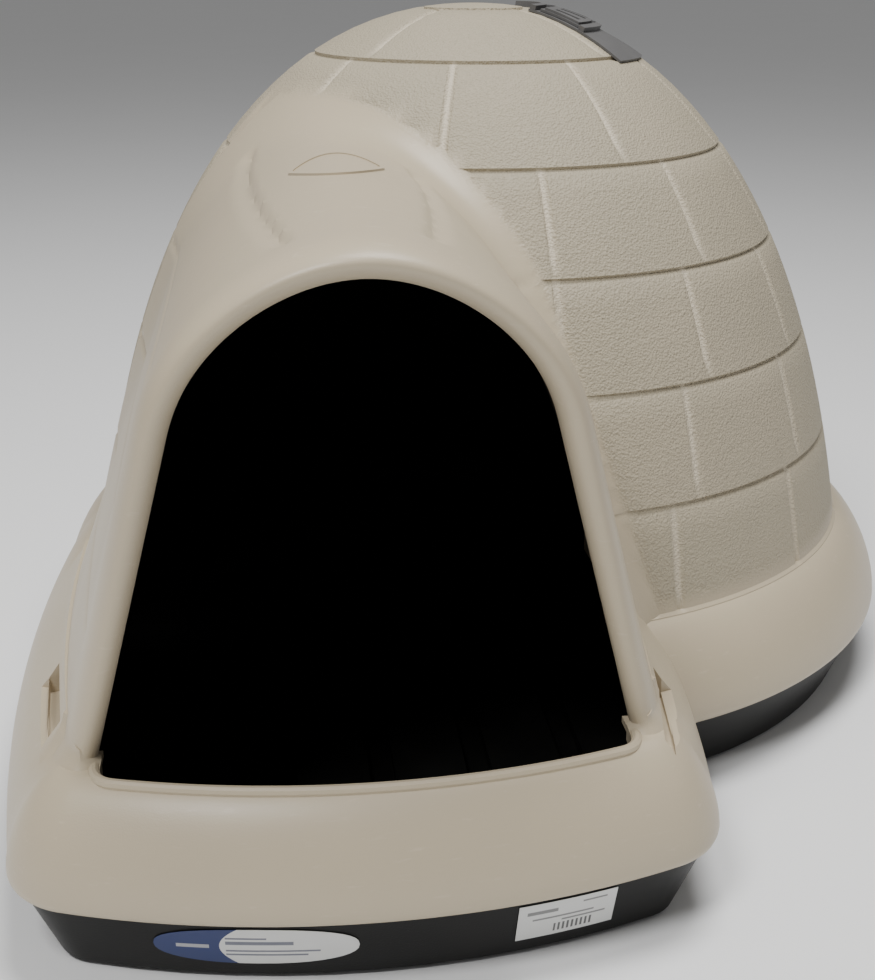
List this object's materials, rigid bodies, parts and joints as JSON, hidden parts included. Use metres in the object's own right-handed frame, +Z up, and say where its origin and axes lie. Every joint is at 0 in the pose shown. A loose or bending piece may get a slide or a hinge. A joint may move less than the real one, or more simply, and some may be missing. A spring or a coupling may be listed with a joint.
{
  "type": "domed pet shelter",
  "caption": "Dome-shaped plastic pet shelter with an offset arched entrance tunnel, brick-pattern shell, black base tray and an adjustable roof vent.",
  "frame": {"origin": "on the floor, on the dome's vertical axis, in the flat underside of the base tray", "axes": "+Z up; the entrance tunnel faces -Y and its middle lies 147 mm to the -X side of the dome's axis; +X is to the right as seen from the front"},
  "size_m": [0.861, 1.068, 0.6386],
  "materials": {
    "shell_plastic": "satin moulded structural foam, fine pebble grain on the dome",
    "tray_plastic": "satin black moulded plastic",
    "vent_plastic": "satin dark grey moulded plastic",
    "oval_sticker": "gloss printed film, plain colour fields",
    "item_sticker": "gloss white film, plain bars"
  },
  "bodies": {
    "tray": {"base_tray": "tray_plastic", "oval_label": "oval_sticker", "item_label": "item_sticker"},
    "shell": {"upper_shell": "shell_plastic", "vent_frame": "vent_plastic"},
    "shutter": {"vent_shutter": "vent_plastic"}
  },
  "joints": [
    {"name": "shell_lift", "type": "slide", "parent": "tray", "child": "shell", "axis": [0, 0, 1], "range_m": [0, 0.06]},
    {"name": "vent_shutter_turn", "type": "hinge", "parent": "shell", "child": "shutter", "pos_m": [0, 0, 0.584], "axis": [0, 0, 1], "range_deg": [0, 5.5]}
  ]
}
